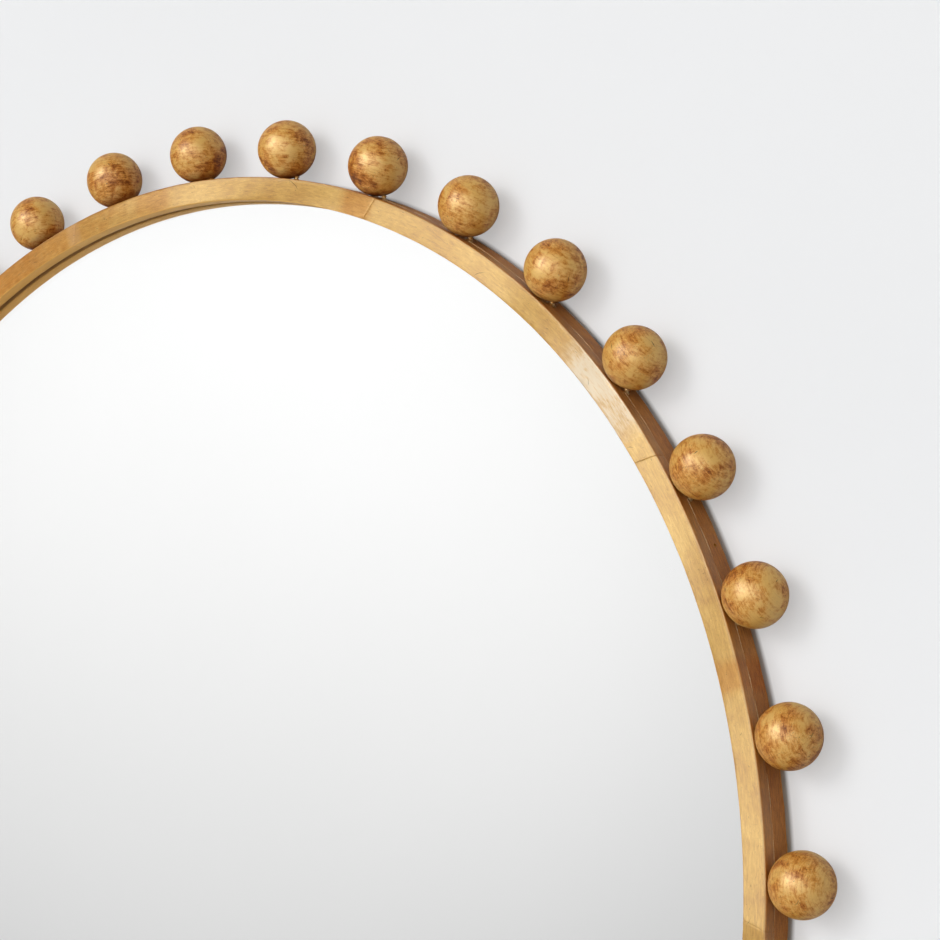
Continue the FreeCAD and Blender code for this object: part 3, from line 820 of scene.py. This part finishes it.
def felt_discs(chance):
    """Felt pads with soft, fibrous edges."""
    points, faces = [], []
    # Radius and depth in mm, from the ring's back to the wall.
    profile = [
        (0.0, 0.0),
        (3.2, 0.0),
        (3.75, 0.12),
        (3.95, 0.5),
        (3.98, 1.0),
        (3.95, 1.6),
        (3.7, 1.93),
        (3.1, 2.0),
        (0.0, 2.0),
    ]
    around = 40
    for index in range(PAD_COUNT):
        centre = on_ring(45 + 360 / PAD_COUNT * index, PAD_ORBIT, RING_BACK_Y)
        base = len(points)
        for radius, depth in profile:
            for k in range(around):
                fuzz = 1 - 0.05 * chance.random() * (radius > 3.4)
                edge = on_ring(360 * k / around, radius * fuzz * MM, depth * MM)
                points.append(centre + edge)
        skin(faces, base, len(profile) - 1, around)
    made = piece("felt_discs", points, faces, FELT)
    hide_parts("wall_pads")


chance = random.Random(36)
for ball_index in range(BALL_COUNT):
    turned_ball(ball_index, chance)
for segment_index in range(SEGMENTS):
    front_piece(segment_index)
seam_wear(chance)
face_cracks(chance)
ball_cracks(chance)
brad_collars()
silver_coat()
felt_discs(chance)

for name, material in {
    "rear_ring": REAR_GOLD,
    "mirror_glass": GLASS,
    "glass_cushion": FOAM,
    "backing_board": BOARD,
    "board_nails": NAIL_STEEL,
    "ball_brads": BRAD_GOLD,
    "ball_pins": PIN_STEEL,
    "hanger_strap_right": ZINC,
    "hanger_strap_left": ZINC,
    "strap_screws": ZINC,
    "d_ring_right": ZINC_WIRE,
    "d_ring_left": ZINC_WIRE,
}.items():
    paint_node(name, material)


# ------------------------------------------------------------ stage


def stage_sheet(name, corners, material):
    """One flat sheet of the room."""
    mesh = bpy.data.meshes.new(name)
    mesh.from_pydata(corners, [], [(0, 1, 2, 3)])
    mesh.materials.append(material)
    made = bpy.data.objects.new(name, mesh)
    bpy.context.scene.collection.objects.link(made)


def pale_plaster(name, lit, glow, one_sided):
    """Matt pale paint. Part of its paleness is for the viewer only, so that the
    room behind doesn't light the object. A wall is clear from behind, and lets
    light through behind the mirror, on to its back."""
    paint = Paint(name)
    point = paint.place()
    clouds = paint.noise(point, 2.2, detail=3)
    tone = paint.times(paint.remap(clouds, 0.3, 0.7, 0.985, 1.01), lit)
    rays = paint.node("LightPath").outputs
    seen = paint.math("MAXIMUM", rays["Is Camera Ray"], rays["Is Transmission Ray"])
    if one_sided:
        x, y, z = paint.parts(point)
        radius = paint.length(x, z)
        # No glow shows in the gap between the ring and the wall.
        clear_of_ring = paint.remap(radius, RIM_RADIUS - 1 * MM, RIM_RADIUS + 2 * MM)
        seen = paint.times(seen, clear_of_ring)
    paint.finish(
        Base_Color=paint.vector(paint.times(tone, 0.988), tone, paint.times(tone, 1.015)),
        Roughness=0.9,
        Specular_IOR_Level=0.1,
        Emission_Color=(1.0, 1.0, 1.0),
        Emission_Strength=paint.times(seen, glow),
    )
    if one_sided:
        hidden = paint.math("LESS_THAN", radius, WALL_OPENING)
        opening = paint.times(paint.without(rays["Is Camera Ray"]), hidden)
        behind = paint.node("NewGeometry").outputs["Backfacing"]
        clear = paint.node("BsdfTransparent").outputs[0]
        paint.cover(paint.math("MAXIMUM", opening, behind), clear)
    return paint.material


wall_y = WALL_Y + WALL_GAP
stage_sheet(
    "wall",
    [(-6, wall_y, FLOOR_Z), (6, wall_y, FLOOR_Z), (6, wall_y, 4), (-6, wall_y, 4)],
    pale_plaster("wall_paint", lit=0.45, glow=0.40, one_sided=True),
)
stage_sheet(
    "floor",
    [(-8, -8, FLOOR_Z), (8, -8, FLOOR_Z), (8, 8, FLOOR_Z), (-8, 8, FLOOR_Z)],
    pale_plaster("floor_paint", lit=0.60, glow=0.32, one_sided=False),
)


def room_light():
    """A pale room: soft light from in front, a small bright patch in it, and some
    light from behind. Through the mirror's glass it is a plain graded wall."""
    world = bpy.data.worlds.new("pale_room")
    bpy.context.scene.world = world
    world.use_nodes = True
    room = Nodes(world.node_tree)
    room.tree.nodes.clear()
    rays = room.node("LightPath").outputs
    direction = room.node("TexCoord").outputs["Generated"]

    def background(strength):
        inputs = {"Color": (1, 1, 1), "Strength": strength}
        return room.node("Background", inputs).outputs[0]

    def towards(way, *values):
        """Strength by the cosine of the angle from a direction."""
        inputs = {0: direction, 1: Vector(way).normalized()}
        cosine = room.node("VectorMath", inputs, operation="DOT_PRODUCT").outputs["Value"]
        return room.remap(cosine, *values, ease="SMOOTHSTEP")

    soft = towards(WINDOW, 0.45, 1.0, 0.10, 2.00)
    bright = towards(SOFTBOX, 0.955, 0.988, 0.0, 6.0)
    behind = towards(BEHIND, 0.1, 1.0, 0.0, 2.2)
    window = room.math("ADD", room.math("ADD", soft, bright), behind)
    graded = room.remap(room.parts(direction)[2], -0.20, 0.16, 0.605, 1.19)
    across = towards(MIRRORED, 0.972, 1.0, 0.78, 1.0)
    mirrored = background(room.times(graded, across))
    light = room.blend(rays["Is Transmission Ray"], background(window), mirrored)
    light = room.blend(rays["Is Camera Ray"], light, background(BACKDROP))
    room.put(room.node("OutputWorld").inputs["Surface"], light)


room_light()


# ------------------------------------------------------------ camera

# Fitted to the balls, the ring's edges and their reflections in the photo.
camera_data = bpy.data.cameras.new("camera")
camera_data.lens = 102.898
camera_data.sensor_width = 36
camera_data.clip_start = 0.05
camera_data.clip_end = 50
camera = bpy.data.objects.new("camera", camera_data)
aim = Matrix.Rotation(math.radians(39.045), 3, "Z")
aim = aim @ Matrix.Rotation(math.radians(94.835), 3, "X")
aim = aim @ Matrix.Rotation(math.radians(-0.241), 3, "Z")
camera.matrix_world = Matrix.Translation((1.31952, -1.32564, 0.10802)) @ aim.to_4x4()
bpy.context.scene.collection.objects.link(camera)
bpy.context.scene.camera = camera
bpy.context.scene.view_settings.view_transform = "Standard"
